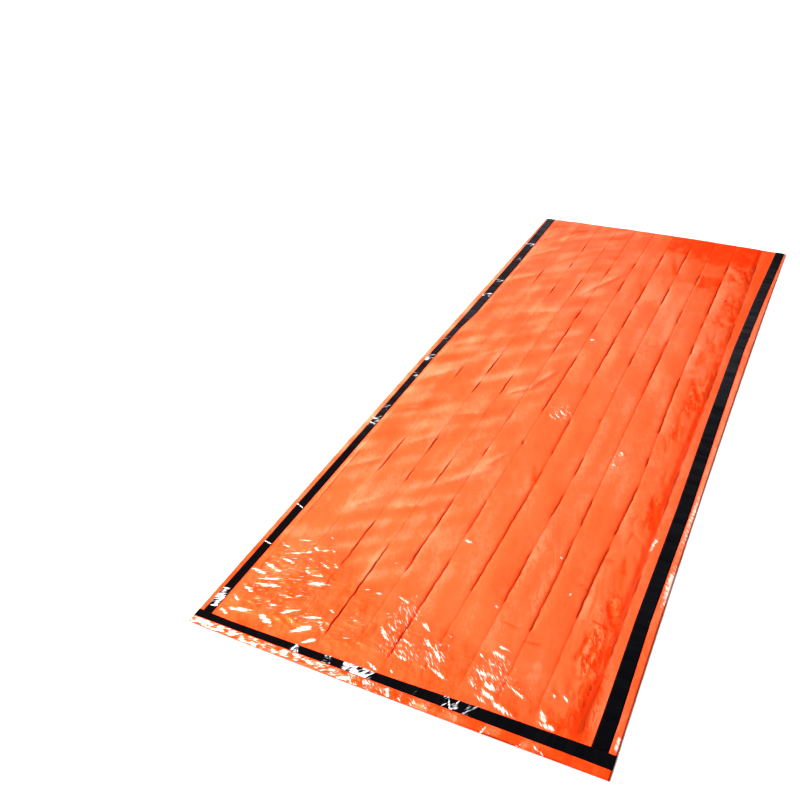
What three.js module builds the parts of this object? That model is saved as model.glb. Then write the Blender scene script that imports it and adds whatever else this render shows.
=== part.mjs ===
// Emergency sleeping bag of orange film, opened out and laid flat on the ground.
// Two panels of film lie one on the other. Black tape seals them along both sides and across the foot,
// and the mouth is left open. The bag was stored folded lengthwise, so the upper panel stands up in
// ten long strips between sharp creases, with soft slanting folds across the left half.
// Millimetres. X runs across the bag, Y from the foot to the mouth, Z up from the ground.

import * as THREE from "three";

// Driving sizes
const film = { thickness: 1, layerGap: 0.3, mouthStep: 9 };
const tape = { thickness: 1, gap: 0.3, clearOfFolds: 2 };

// The four edges of the film as it lies: where each starts and ends, and how far its middle bows.
const sideEdges = {
  left: { foot: -459, mouth: -443, bow: -4 },
  right: { foot: 458, mouth: 446, bow: -7 },
};
const endEdges = {
  foot: { left: -1073, right: -1065, bow: -3 },
  mouth: { left: 1091, right: 1054, bow: 12 },
};

// Edges of the tape strips, at stations along the bag for the sides and across it for the foot.
const leftTapeStations = [
  { y: -1100, outer: -447, inner: -427 },
  { y: -850, outer: -444, inner: -426 },
  { y: -600, outer: -442, inner: -423 },
  { y: -250, outer: -438, inner: -423 },
  { y: 50, outer: -437, inner: -422 },
  { y: 230, outer: -433, inner: -418 },
  { y: 330, outer: -432, inner: -409 },
  { y: 700, outer: -431, inner: -407 },
  { y: 1100, outer: -437, inner: -411 },
];
const rightTapeStations = [
  { y: -1100, outer: 441, inner: 411 },
  { y: -950, outer: 440, inner: 410 },
  { y: -700, outer: 433, inner: 406 },
  { y: -350, outer: 433, inner: 405 },
  { y: 0, outer: 426, inner: 399 },
  { y: 380, outer: 421, inner: 396 },
  { y: 700, outer: 427, inner: 403 },
  { y: 1100, outer: 441, inner: 415 },
];
const footTapeStations = [
  { x: -460, outer: -1055, inner: -1036 },
  { x: -380, outer: -1054, inner: -1038 },
  { x: -200, outer: -1052, inner: -1034 },
  { x: 0, outer: -1049, inner: -1029 },
  { x: 200, outer: -1047, inner: -1021 },
  { x: 400, outer: -1045, inner: -1016 },
  { x: 460, outer: -1045, inner: -1015 },
];

// The lengthwise creases, by where they meet the foot and the mouth. Neighbours bound one strip.
const creases = [
  { foot: -403, mouth: -386 },
  { foot: -320, mouth: -302 },
  { foot: -241, mouth: -224 },
  { foot: -167, mouth: -152 },
  { foot: -96, mouth: -87 },
  { foot: -18, mouth: -17 },
  { foot: 62, mouth: 58 },
  { foot: 141, mouth: 133 },
  { foot: 219, mouth: 206 },
  { foot: 296, mouth: 282 },
  { foot: 380, mouth: 366 },
];

// How full each strip between two creases stands along the bag: its mean height, and a slow swell.
const strips = [
  { height: 2.6, swell: 0.4, waves: 3.1, phase: 0.4 },
  { height: 2.3, swell: 0.5, waves: 2.3, phase: 1.9 },
  { height: 2.1, swell: 0.4, waves: 3.7, phase: 3.1 },
  { height: 2.0, swell: 0.5, waves: 2.9, phase: 0.9 },
  { height: 2.4, swell: 0.4, waves: 2.1, phase: 4.2 },
  { height: 2.5, swell: 0.4, waves: 3.3, phase: 2.6 },
  { height: 2.2, swell: 0.4, waves: 2.5, phase: 5.3 },
  { height: 2.4, swell: 0.3, waves: 3.9, phase: 1.2 },
  { height: 2.3, swell: 0.5, waves: 2.7, phase: 3.8 },
  { height: 2.7, swell: 0.5, waves: 4.3, phase: 0.1 },
];
const stripProfile = [
  { share: 0, rise: 0 },
  { share: 0.2, rise: 0.85 },
  { share: 0.5, rise: 1 },
  { share: 0.8, rise: 0.85 },
];

// Soft folds that slant across the strips on the left half.
const slantFolds = [
  { fromX: -390, fromY: 840, toX: -290, toY: 1010, height: 0.9, spread: 26 },
  { fromX: -385, fromY: 560, toX: -250, toY: 780, height: 1.0, spread: 28 },
  { fromX: -150, fromY: 540, toX: -40, toY: 790, height: 1.1, spread: 24 },
  { fromX: -350, fromY: 330, toX: -160, toY: 430, height: 0.9, spread: 28 },
  { fromX: -400, fromY: -90, toX: -290, toY: 90, height: 1.0, spread: 26 },
  { fromX: -160, fromY: -60, toX: -50, toY: 100, height: 1.1, spread: 24 },
  { fromX: -330, fromY: -240, toX: -150, toY: -150, height: 0.8, spread: 28 },
  { fromX: -150, fromY: -410, toX: -50, toY: -270, height: 1.0, spread: 24 },
  { fromX: -310, fromY: -510, toX: -130, toY: -430, height: 0.9, spread: 28 },
];

const relief = { most: 3.6, mouthLift: 1.2, mouthReach: 90, footFade: 60 };
const stepsAlong = 40;

function between(a, b, share) {
  return a + (b - a) * share;
}

// Value of one column of a station table at a place along it, straight between stations.
function atStation(stations, along, place, column) {
  const last = stations.length - 1;
  let i = 0;
  while (i < last - 1 && place > stations[i + 1][along]) i += 1;
  const a = stations[i];
  const b = stations[i + 1];
  const share = (place - a[along]) / (b[along] - a[along]);
  return between(a[column], b[column], THREE.MathUtils.clamp(share, 0, 1));
}

// An edge that runs from one end value to the other and bows by a parabola in between.
function bowed(from, to, bow, share) {
  return between(from, to, share) + 4 * bow * share * (1 - share);
}

function lengthShare(y) {
  return (y - endEdges.foot.left) / (endEdges.mouth.left - endEdges.foot.left);
}

function sideX(side, y) {
  return bowed(side.foot, side.mouth, side.bow, lengthShare(y));
}

function endY(end, x) {
  const share = (x - sideEdges.left.foot) / (sideEdges.right.foot - sideEdges.left.foot);
  return bowed(end.left, end.right, end.bow, share);
}

// Lines that run from foot to mouth. Each gives X at Y, and says which strip it lies on, if any.
function lengthwiseLines() {
  const onTape = (stations, column, inward) => (y) => atStation(stations, "y", y, column) + inward;
  const lines = [
    { x: (y) => sideX(sideEdges.left, y) },
    { x: onTape(leftTapeStations, "outer", 0) },
    { x: onTape(leftTapeStations, "inner", tape.clearOfFolds) },
  ];
  creases.slice(0, -1).forEach((crease, strip) => {
    const next = creases[strip + 1];
    for (const { share, rise } of stripProfile) {
      const foot = between(crease.foot, next.foot, share);
      const mouth = between(crease.mouth, next.mouth, share);
      lines.push({ x: (y) => between(foot, mouth, lengthShare(y)), strip, rise });
    }
  });
  const flange = creases[creases.length - 1];
  lines.push(
    { x: (y) => between(flange.foot, flange.mouth, lengthShare(y)) },
    { x: onTape(rightTapeStations, "inner", -tape.clearOfFolds) },
    { x: onTape(rightTapeStations, "outer", 0) },
    { x: (y) => sideX(sideEdges.right, y) },
  );
  return lines;
}

// Lines that run across the bag, from the foot edge over the foot tape to the mouth.
function crosswiseLines(mouthStep) {
  const innerY = (x) => atStation(footTapeStations, "x", x, "inner") + tape.clearOfFolds;
  const mouthY = (x) => endY(endEdges.mouth, x) - mouthStep;
  const lines = [
    (x) => endY(endEdges.foot, x),
    (x) => atStation(footTapeStations, "x", x, "outer"),
  ];
  for (let i = 0; i <= stepsAlong; i += 1) {
    lines.push((x) => between(innerY(x), mouthY(x), i / stepsAlong));
  }
  return lines;
}

function slantHeight(x, y) {
  let height = 0;
  for (const fold of slantFolds) {
    const run = new THREE.Vector2(fold.toX - fold.fromX, fold.toY - fold.fromY);
    const place = new THREE.Vector2(x - fold.fromX, y - fold.fromY);
    const share = THREE.MathUtils.clamp(place.dot(run) / run.lengthSq(), 0, 1);
    const off = place.distanceTo(run.multiplyScalar(share));
    height = Math.max(height, fold.height * Math.exp(-((off / fold.spread) ** 2)));
  }
  return height;
}

// Height of the upper panel above its flat seam, at a point of one lengthwise line.
function foldHeight(line, x, y) {
  const fromFoot = y - atStation(footTapeStations, "x", x, "inner");
  const fromMouth = endY(endEdges.mouth, x) - film.mouthStep - y;
  const footShare = THREE.MathUtils.smoothstep(fromFoot, tape.clearOfFolds, relief.footFade);
  const mouthShare = THREE.MathUtils.smoothstep(relief.mouthReach - fromMouth, 0, relief.mouthReach);
  if (line.strip === undefined) return 0;
  const strip = strips[line.strip];
  const swell = strip.swell * Math.sin(2 * Math.PI * strip.waves * lengthShare(y) + strip.phase);
  const standing = line.rise * (strip.height + swell) + slantHeight(x, y);
  const lifted = footShare * standing + mouthShare * relief.mouthLift * (1 - 0.5 * line.rise);
  return Math.min(lifted, relief.most);
}

// One closed sheet over a grid of [x, y, upper z, lower z] rows: both faces and the rim between them.
function sheetGeometry(rows) {
  const across = rows[0].length;
  const count = rows.length * across;
  const positions = [];
  rows.flat().forEach(([x, y, top]) => positions.push(x, y, top));
  rows.flat().forEach(([x, y, , bottom]) => positions.push(x, y, bottom));
  const faces = [];
  const quad = (a, b, c, d) => faces.push(a, b, c, a, c, d);
  for (let r = 0; r + 1 < rows.length; r += 1) {
    for (let c = 0; c + 1 < across; c += 1) {
      const a = r * across + c;
      const d = a + across;
      quad(a, a + 1, d + 1, d);
      quad(count + a, count + d, count + d + 1, count + a + 1);
    }
  }
  const rim = [];
  for (let c = 0; c < across; c += 1) rim.push(c);
  for (let r = 1; r < rows.length; r += 1) rim.push(r * across + across - 1);
  for (let c = across - 2; c >= 0; c -= 1) rim.push((rows.length - 1) * across + c);
  for (let r = rows.length - 2; r > 0; r -= 1) rim.push(r * across);
  rim.forEach((a, i) => {
    const b = rim[(i + 1) % rim.length];
    quad(b, a, count + a, count + b);
  });
  const geometry = new THREE.BufferGeometry();
  geometry.setAttribute("position", new THREE.Float32BufferAttribute(positions, 3));
  geometry.setIndex(faces);
  geometry.computeVertexNormals();
  return geometry;
}

// A point where a lengthwise and a crosswise line meet, found in a few rounds because both bend.
function meeting(line, crossLine) {
  let x = line.x(0);
  let y = crossLine(x);
  for (let round = 0; round < 4; round += 1) {
    x = line.x(y);
    y = crossLine(x);
  }
  return [x, y];
}

const seamTop = film.thickness + film.layerGap + film.thickness;

function upperPanel() {
  const lines = lengthwiseLines();
  const rows = crosswiseLines(film.mouthStep).map((crossLine) =>
    lines.map((line) => {
      const [x, y] = meeting(line, crossLine);
      const top = seamTop + foldHeight(line, x, y);
      return [x, y, top, top - film.thickness];
    }),
  );
  return sheetGeometry(rows);
}

function lowerPanel() {
  const columns = 12;
  const rowCount = 24;
  const rows = [];
  for (let r = 0; r <= rowCount; r += 1) {
    const crossLine = (x) => between(endY(endEdges.foot, x), endY(endEdges.mouth, x), r / rowCount);
    const row = [];
    for (let c = 0; c <= columns; c += 1) {
      const x = (y) => between(sideX(sideEdges.left, y), sideX(sideEdges.right, y), c / columns);
      row.push([...meeting({ x }, crossLine), film.thickness, 0]);
    }
    rows.push(row);
  }
  return sheetGeometry(rows);
}

const tapeBottom = seamTop + tape.gap;

// A side strip, from just inside the foot tape to the film's edge at the mouth.
function sideTape(stations) {
  const steps = 30;
  const footY = (x) => atStation(footTapeStations, "x", x, "inner") + tape.gap;
  const mouthY = (x) => endY(endEdges.mouth, x);
  const rows = [];
  for (let i = 0; i <= steps; i += 1) {
    const crossLine = (x) => between(footY(x), mouthY(x), i / steps);
    const columns = stations[0].outer < 0 ? ["outer", "inner"] : ["inner", "outer"];
    rows.push(
      columns.map((column) => {
        const x = (y) => atStation(stations, "y", y, column);
        return [...meeting({ x }, crossLine), tapeBottom + tape.thickness, tapeBottom];
      }),
    );
  }
  return sheetGeometry(rows);
}

// The strip across the foot, from one side edge of the film to the other.
function footTape() {
  const steps = 16;
  const rows = ["outer", "inner"].map((column) => {
    const row = [];
    for (let i = 0; i <= steps; i += 1) {
      const x = (y) => between(sideX(sideEdges.left, y), sideX(sideEdges.right, y), i / steps);
      const crossLine = (place) => atStation(footTapeStations, "x", place, column);
      row.push([...meeting({ x }, crossLine), tapeBottom + tape.thickness, tapeBottom]);
    }
    return row;
  });
  return sheetGeometry(rows);
}

const filmFinish = { color: 0xff6a2c, roughness: 0.3, metalness: 0.15 };
const tapeFinish = { color: 0x121318, roughness: 0.35, metalness: 0 };

function piece(name, geometry, finish) {
  const mesh = new THREE.Mesh(geometry, new THREE.MeshStandardMaterial(finish));
  mesh.name = name;
  return mesh;
}

const sleepingBag = new THREE.Group();
sleepingBag.add(
  piece("lower_panel", lowerPanel(), filmFinish),
  piece("upper_panel", upperPanel(), filmFinish),
  piece("side_tape_left", sideTape(leftTapeStations), tapeFinish),
  piece("side_tape_right", sideTape(rightTapeStations), tapeFinish),
  piece("foot_tape", footTape(), tapeFinish),
);

// The part's origin is under the middle of the bag's outline.
const outline = new THREE.Box3().setFromObject(sleepingBag);
const middle = outline.getCenter(new THREE.Vector3());
sleepingBag.position.set(-middle.x, -middle.y, 0);

export default sleepingBag;
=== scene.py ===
import math

import bpy
import numpy as np
from mathutils import Matrix, Vector


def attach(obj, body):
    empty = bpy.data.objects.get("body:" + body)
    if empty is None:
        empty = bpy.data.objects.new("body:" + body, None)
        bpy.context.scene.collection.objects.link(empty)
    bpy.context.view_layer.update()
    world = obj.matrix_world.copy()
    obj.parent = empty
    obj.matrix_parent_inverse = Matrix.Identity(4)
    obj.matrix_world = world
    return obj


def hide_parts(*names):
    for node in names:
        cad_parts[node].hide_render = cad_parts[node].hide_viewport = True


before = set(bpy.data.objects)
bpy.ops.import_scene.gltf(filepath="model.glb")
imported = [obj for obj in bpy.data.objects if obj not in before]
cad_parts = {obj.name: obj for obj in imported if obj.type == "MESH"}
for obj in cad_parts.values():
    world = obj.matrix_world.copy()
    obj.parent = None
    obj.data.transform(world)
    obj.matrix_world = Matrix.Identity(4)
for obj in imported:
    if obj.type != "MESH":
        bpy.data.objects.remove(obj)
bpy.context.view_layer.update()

# An emergency sleeping bag of glossy orange film, laid out flat with its mouth open at the far end.
# The tables below are in millimetres, x across the bag and y from the foot to the mouth.

view = {  # the photo's camera, in degrees, metres and pixels
    "azimuth": 29.18, "elevation": 35.45, "roll": -4.97, "distance": 2.4514,
    "target": (-0.3343, -0.1607), "focalPixels": 866.7, "centrePixels": (430, 400), "imagePixels": 800,
}
studio = {
    "floorGrey": 0.80,
    "skyStrength": 5.1,
    # how bright the dome is, against how far a direction points to the left
    "leftness": [(-0.60, 0.03), (-0.15, 0.14), (0.0, 0.24), (0.12, 0.36), (0.22, 0.62), (0.34, 0.58),
                 (0.50, 0.66), (0.75, 1.0)],
    # a dark flag low on the far right: the brightness it keeps, against a direction's height plus a share of
    # its leftness
    "flag": [(0.52, 0.02), (0.58, 0.36), (0.67, 1.0)],
    "flagLean": 0.9,
    "leftnessRange": (-0.7, 0.8),
    "flagRange": (0.4, 0.8),
    "sun": {"towards": (-0.50, 0.12, 0.86), "angle": 8, "strength": 1.2},
}


def cameraFrame():
    # where the camera stands, and which ways are right, up and back for it, about the tables' own origin
    az, el, roll = (math.radians(view[k]) for k in ("azimuth", "elevation", "roll"))
    back = Vector((math.sin(az) * math.cos(el), -math.cos(az) * math.cos(el), math.sin(el)))
    level = (-back).cross(Vector((0, 0, 1))).normalized()
    upright = level.cross(-back)
    right = math.cos(roll) * level + math.sin(roll) * upright
    up = -math.sin(roll) * level + math.cos(roll) * upright
    return Vector((*view["target"], 0)) + back * view["distance"], right, up, back


def smooth(t):
    # 3t^2 - 2t^3 between 0 and 1: a soft step
    t = np.clip(t, 0, 1)
    return t * t * (3 - 2 * t)


def bowed(start, end, bow, share):
    # straight from start to end, plus a parabola that is bow high in the middle
    return start + (end - start) * share + 4 * bow * share * (1 - share)


def named(names, table):
    # one dictionary for each row of a table, its numbers under the names; a short row has no last entry
    return [dict(zip(names.split(), row)) for row in table]


def column(table, name):
    return np.array([row[name] for row in table], float)


def against(table, names, at):
    # the second named column, read straight between its stations in the first
    return np.interp(at, *(table[name] for name in names.split()))


def waves(x, y, lengthX, lengthY, seed, turn=0, count=16):
    # sum of sine waves of about the two given lengths, in seeded directions, scaled to about -1..1,
    # with the whole pattern swung round by turn degrees
    dice = np.random.default_rng(seed)
    swing = math.radians(turn)
    a = x * math.cos(swing) + y * math.sin(swing)
    b = y * math.cos(swing) - x * math.sin(swing)
    total = np.zeros_like(x)
    for _ in range(count):
        way, shift, size = dice.uniform(0, 2 * math.pi), dice.uniform(0, 2 * math.pi), dice.uniform(0.7, 1.4)
        place = math.cos(way) * a / lengthX + math.sin(way) * b / lengthY
        total += np.sin(2 * math.pi * place / size + shift)
    return total / math.sqrt(count / 2)


def ridges(x, y, lengthX, lengthY, seed, turn=0):
    # 1 where the waves cross zero, falling away on both sides: a net of sharp wrinkles
    return np.clip(1 - np.abs(waves(x, y, lengthX, lengthY, seed, turn)), 0, 1) ** 2


outline = {
    "footY": {"left": -1073, "right": -1065, "bow": -3},
    "mouthY": {"left": 1091, "right": 1054, "bow": 12},
    "leftX": {"foot": -459, "mouth": -443, "bow": -4},
    "rightX": {"foot": 458, "mouth": 446, "bow": -7},
    "mouthStep": 4,  # how far the lower film reaches past the upper one
}


def lengthShare(y):
    foot, mouth = outline["footY"]["left"], outline["mouthY"]["left"]
    return (y - foot) / (mouth - foot)


def sideX(side, y):
    return bowed(outline[side]["foot"], outline[side]["mouth"], outline[side]["bow"], lengthShare(y))


def endY(end, x):
    share = (x - outline["leftX"]["foot"]) / (outline["rightX"]["foot"] - outline["leftX"]["foot"])
    return bowed(outline[end]["left"], outline[end]["right"], outline[end]["bow"], share)


alongAll = np.linspace(outline["footY"]["left"], outline["mouthY"]["left"], 400)
acrossAll = np.linspace(outline["leftX"]["foot"], outline["rightX"]["foot"], 400)
middle = np.array([  # of the film's outline, where the object's own origin lies
    (sideX("leftX", alongAll).min() + sideX("rightX", alongAll).max()) / 2,
    (endY("footY", acrossAll).min() + endY("mouthY", acrossAll).max()) / 2,
])

leftTape = named("y outer inner", [
    (-1100, -449, -427), (-850, -447, -425), (-600, -445, -422), (-250, -442, -421), (50, -441, -420),
    (230, -437, -416), (330, -436, -406), (700, -435, -404), (1100, -439, -408),
])
rightTape = named("y inner outer", [
    (-1100, 410, 442), (-950, 409, 441), (-700, 404, 434), (-350, 403, 435), (0, 397, 429), (380, 394, 424),
    (700, 400, 430), (1100, 413, 442),
])
footTape = named("x outer inner", [
    (-460, -1055, -1036), (-380, -1054, -1038), (-200, -1052, -1034), (0, -1049, -1029),
    (200, -1047, -1021), (400, -1045, -1016), (460, -1045, -1015),
])


def tapeX(tape, edge, y):
    return np.interp(y, column(tape, "y"), column(tape, edge))


def footTapeY(edge, x):
    return np.interp(x, column(footTape, "x"), column(footTape, edge))


creaseStations = [-1070, -650, -300, 100, 550, 1090]
# Creases: x at those stations, the depth, the stretches (from y, to y) where it is pressed deep, and, for the
# last, its painted highlight share and its painted shade line's spread and share.
creases = named("x depth deep pale lineSpread lineShare", [
    ([-402, -404, -404, -400, -389, -386], 0.5, [(700, 560), (470, 330), (-420, -700)]),
    ([-320, -322, -316, -312, -303, -301], 0.8, [(684, 560), (30, -50), (-330, -500)]),
    ([-240, -236, -236, -233, -225, -223], 1.0, [(925, 843), (770, 715), (590, 520), (140, 0), (-20, -100),
      (-300, -390), (-440, -510), (-640, -820)]),
    ([-168, -166, -160, -158, -155, -151], 1.0, [(915, 875), (660, 520), (40, -80), (-370, -495),
      (-700, -1000)]),
    ([-96, -93, -93, -92, -91, -87], 1.1, [(780, 700), (470, 380), (360, 180), (-110, -190), (-290, -350),
      (-510, -780)]),
    ([-18, -16, -18, -18, -18, -16], 1.2, [(840, 780), (700, 600), (400, 320), (200, -120), (-230, -270),
      (-480, -620), (-690, -1000)]),
    ([62, 66, 68, 60, 59, 57], 1.3, [(925, 800), (690, 540), (520, 380), (350, 100), (80, 0), (-100, -280),
      (-330, -780)]),
    ([141, 142, 148, 137, 135, 132], 1.0, [(990, 780), (700, 560), (480, 450), (270, 180), (-70, -110),
      (-240, -340), (-390, -500), (-600, -780)]),
    ([219, 219, 215, 211, 207, 206], 1.3, [(820, 720), (570, 460), (380, 60), (-380, -500), (-520, -830)]),
    ([297, 294, 302, 288, 283, 281], 1.2, [(920, 830), (790, 540), (510, 460), (380, 300), (190, -100),
      (-180, -240), (-300, -500), (-520, -760)]),
    ([386, 383, 378, 377, 371, 366], 1.5, [(960, 560), (540, 380), (320, 80), (-50, -420),
      (-520, -1010)], 0.05, 1.9, 0.9),
])
lastCrease = len(creases) - 1
# How high the film stands close to a pressed crease, on each side, and how far that reaches; how much paler
# its lit side is, a painted highlight; and how broad its painted shade line is and how much darker than its
# depth.
creaseForms = {
    "ledge": {"left": 1.1, "leftReach": 26, "right": -0.1, "rightReach": 8, "pale": 0.3, "lineSpread": 2.0,
              "darker": 0.15},
    "valley": {"left": -0.6, "leftReach": 16, "right": -1.0, "rightReach": 34, "pale": 0.18,
               "lineSpread": 1.5, "darker": 0.0},
}
ledgeCount = 4  # the first creases from the left are ledges, and the others are valleys
# Broad slanting folds: the crest's line, its height, and how far it spreads on its foot side and mouth side.
softFolds = named("startX startY endX endY height below above", [
    (-405, 745, -300, 870, 2.4, 20, 45), (-330, 905, -265, 1015, 2.0, 18, 40),
    (-395, 565, -300, 655, 2.4, 20, 45), (-300, 735, -228, 820, 2.0, 16, 40),
    (-200, 770, -95, 830, 1.6, 18, 40), (-135, 545, -40, 730, 3.0, 18, 40),
    (-300, 365, -225, 405, 1.6, 16, 40), (-226, 398, -150, 425, 3.2, 14, 38),
    (-395, 130, -310, 175, 1.8, 18, 40), (-300, 85, -230, 160, 2.0, 16, 38),
    (-395, -70, -318, 15, 2.6, 20, 44), (-140, -60, -75, 0, 3.2, 12, 36), (-90, 0, -50, 100, 2.6, 20, 30),
    (-232, -198, -150, -165, 3.0, 14, 36), (-400, -240, -330, -195, 1.8, 16, 36),
    (-300, -360, -230, -290, 2.0, 18, 38), (-135, -460, -50, -370, 3.2, 16, 38),
    (-80, -380, -40, -300, 2.4, 18, 30), (-400, -500, -320, -425, 2.4, 20, 44),
    (-228, -600, -140, -560, 3.2, 16, 36), (-330, -640, -250, -560, 2.0, 22, 40),
])
# Pinched grooves that widen from start to end, most of them in the strip beside the right tape; dark is how
# dark their painted shade line is.
crumples = named("startX startY endX endY depth spread dark", [
    (300, 1024, 352, 958, 1.2, 7, 0.5), (296, 976, 346, 940, 0.8, 7, 0.2),
    (288, 908, 352, 868, 1.4, 9, 0.5), (342, 884, 370, 792, 1.6, 6, 0.5), (300, 850, 322, 800, 0.6, 10),
    (308, 668, 366, 620, 1.5, 6, 0.5), (350, 612, 368, 540, 1.5, 7), (320, 536, 350, 500, 0.8, 6),
    (336, 404, 350, 346, 0.9, 6), (330, 166, 366, 82, 2.2, 7, 0.35), (320, 84, 370, 50, 1.4, 14),
    (330, 12, 342, -100, 1.0, 6), (346, -330, 374, -430, 2.0, 9, 0.35), (338, -548, 352, -600, 0.6, 8),
    (341, -674, 374, -742, 2.6, 9, 0.4), (326, -742, 380, -752, 1.2, 4), (322, -770, 334, -806, 1.0, 3),
    (334, -776, 326, -850, 1.2, 4), (344, -786, 350, -838, 1.2, 3), (356, -790, 346, -856, 1.0, 4),
    (366, -770, 372, -850, 1.2, 5), (340, -850, 352, -888, 0.9, 3), (360, -870, 356, -930, 0.8, 4),
    (387, -862, 381, -1016, 2.6, 15, 0.75), (100, 900, 132, 790, 0.8, 7), (38, 690, 60, 640, 0.8, 6),
    (40, -322, 64, -380, 0.8, 5), (216, 820, 236, 730, 0.8, 10), (268, -657, 302, -673, 0.4, 5, 0.4),
    (150, -814, 192, -821, 0.3, 4, 0.22), (214, -846, 250, -842, 0.3, 4, 0.18),
    (285, -561, 321, -572, 0.3, 5, 0.25),
])
# Where the film has painted fine crumples and painted shade, besides along those grooves.
crumpleZones = named("x y reachX reachY share", [
    (356, -815, 30, 75, 1.0), (374, -940, 14, 90, 1.0), (350, -700, 26, 50, 0.5), (336, -60, 20, 60, 0.5),
    (360, -390, 22, 80, 0.5), (350, 90, 26, 80, 0.7), (320, 960, 40, 90, 0.4), (350, 840, 24, 70, 0.5),
    (345, 620, 28, 80, 0.4), (190, -640, 130, 280, 0.11),
])
stripShade = {  # how deep the painted shade is close to the left of the last crease, along its length
    "y": [-1030, -980, -850, -760, -700, -600, -500, -400, -320, -200, -100, 0, 100, 200, 350, 450, 600, 700,
          850, 1060],
    "share": [1.0, 1.0, 0.9, 0.6, 0.5, 0.35, 0.3, 0.9, 0.5, 0.3, 0.4, 0.6, 0.8, 0.5, 0.6, 0.5, 0.6, 0.4,
              0.7, 0.5],
    "reach": 36,
    "deeper": 0.9,
    "shadeBrown": 1.1,  # how much painted shade line it gets, for the part of the share above a half
}


# Facets that stand a little off the film and lean part of the way to flash in the light;
# each also carries a painted glint.
glints = named("startX startY endX endY wide mark", [
    (-372, -779, -343, -770, 3), (-402, -802, -372, -809, 5), (-368, -825, -325, -802, 5),
    (-372, -842, -338, -845, 5), (-397, -870, -356, -880, 7), (-422, -893, -379, -898, 6),
    (-384, -913, -340, -897, 7), (-390, -931, -334, -918, 9), (-406, -944, -375, -956, 6),
    (-411, -975, -393, -986, 6), (-400, -1011, -352, -997, 9), (-418, -1018, -395, -1025, 7),
    (-311, -737, -290, -750, 4), (-322, -785, -306, -793, 6), (-304, -787, -284, -781, 5),
    (-281, -775, -265, -785, 4), (-286, -820, -256, -829, 5), (-254, -809, -240, -822, 5),
    (-306, -853, -286, -861, 5), (-284, -861, -254, -854, 5), (-281, -885, -236, -872, 10),
    (-320, -938, -290, -932, 3), (-290, -932, -259, -913, 4), (-288, -979, -256, -959, 7),
    (-325, -972, -304, -963, 5), (-327, -1000, -288, -1013, 11), (-193, -929, -175, -936, 4),
    (-234, -970, -200, -959, 7), (-238, -1011, -202, -984, 11), (-200, -1025, -177, -1006, 8),
    (-197, -965, -177, -984, 5), (-125, -852, -108, -848, 4), (-150, -852, -140, -846, 4),
    (-132, -934, -118, -934, 4), (-128, -984, -114, -978, 4), (-130, -758, -118, -754, 3),
    (-75, -840, -43, -850, 4), (-52, -898, -31, -904, 4), (-59, -915, -29, -929, 5),
    (-68, -927, -38, -954, 7), (-50, -1015, -25, -1025, 5), (5, -884, 28, -897, 8), (28, -918, 53, -938, 5),
    (-9, -938, 21, -947, 5), (-6, -975, 21, -984, 5), (0, -1014, 10, -1018, 4), (57, -931, 82, -959, 8),
    (69, -977, 116, -993, 6), (70, -890, 78, -897, 4), (128, -782, 136, -789, 5), (173, -877, 198, -881, 5),
    (166, -893, 198, -902, 8), (146, -908, 156, -915, 4), (176, -920, 186, -927, 4),
    (150, -945, 182, -956, 5), (148, -970, 168, -986, 6), (180, -968, 208, -978, 9),
    (184, -986, 210, -996, 9), (178, -1000, 200, -1008, 7), (213, -1002, 257, -1015, 9),
    (230, -956, 273, -975, 4), (232, -934, 240, -942, 3), (302, -984, 318, -1002, 9),
    (309, -1006, 343, -1013, 9), (332, -936, 343, -947, 5), (312, -940, 320, -947, 4),
    (-14, 292, 2, 292, 6), (-10, -632, 8, -634, 6), (218, -252, 228, -258, 5), (226, -200, 236, -210, 4),
    (8, -120, 30, -128, 5, 0.8), (14, -100, 36, -118, 5, 0.8), (22, -78, 46, -104, 5, 0.8),
    (36, -50, 46, -68, 6, 0.8), (40, -88, 52, -112, 5, 0.8), (125, 58, 131, 52, 4),
])
paintedFlatGlints = named("startX startY endX endY wide mark", [  # painted glints where the film isn't raised
    (381, -506, 388, -462, 8), (444, -470, 443, -270, 11, 0.85), (449, -650, 445, -540, 15, 1.1),
    (452, -1010, 451, -978, 8), (262, -690, 264, -704, 4), (206, -600, 214, -603, 4),
    (376, -1022, 392, -1020, 4), (91, -1056, 109, -1068, 4, 0.8), (145, -1052, 162, -1066, 4, 0.8),
    (217, -1069, 222, -1053, 5, 0.95), (226, -1059, 233, -1066, 4, 0.8), (241, -1046, 247, -1050, 4, 0.9),
    (288, -1070, 294, -1059, 4, 0.8), (313, -1054, 337, -1067, 4, 0.9),
])


def run(line):
    runX, runY = line["endX"] - line["startX"], line["endY"] - line["startY"]
    return runX, runY, math.hypot(runX, runY)


def lineSpots(x, y, line):
    # how far each point lies along the line, from 0 to 1, and how many mm to its left
    runX, runY, length = run(line)
    fromX, fromY = x - line["startX"], y - line["startY"]
    return (fromX * runX + fromY * runY) / length ** 2, (fromY * runX - fromX * runY) / length


def pinchShare(x, y, fold):
    # a bell across a straight line, steep on its left and easy on its right, which widens from start to end
    along, aside = lineSpots(x, y, fold)
    spread = fold["spread"] * (0.3 + 0.7 * np.clip(along, 0, 1)) * np.where(aside > 0, 0.7, 1.7)
    ends = smooth((along + 0.1) / 0.3) * smooth((1.12 - along) / 0.24)
    return ends * np.exp(-(aside / spread) ** 2)


def foldHeight(x, y, fold):
    # a crest that drops steeply towards the foot and eases away towards the mouth
    along, aside = lineSpots(x, y, fold)
    ends = smooth((along + 0.2) / 0.5) * smooth((1.2 - along) / 0.5)
    below = smooth(1 + aside / fold["below"])
    above = np.exp(-np.clip(aside, 0, None) / (0.6 * fold["above"]))
    return ends * np.where(aside < 0, below, above)


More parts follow.
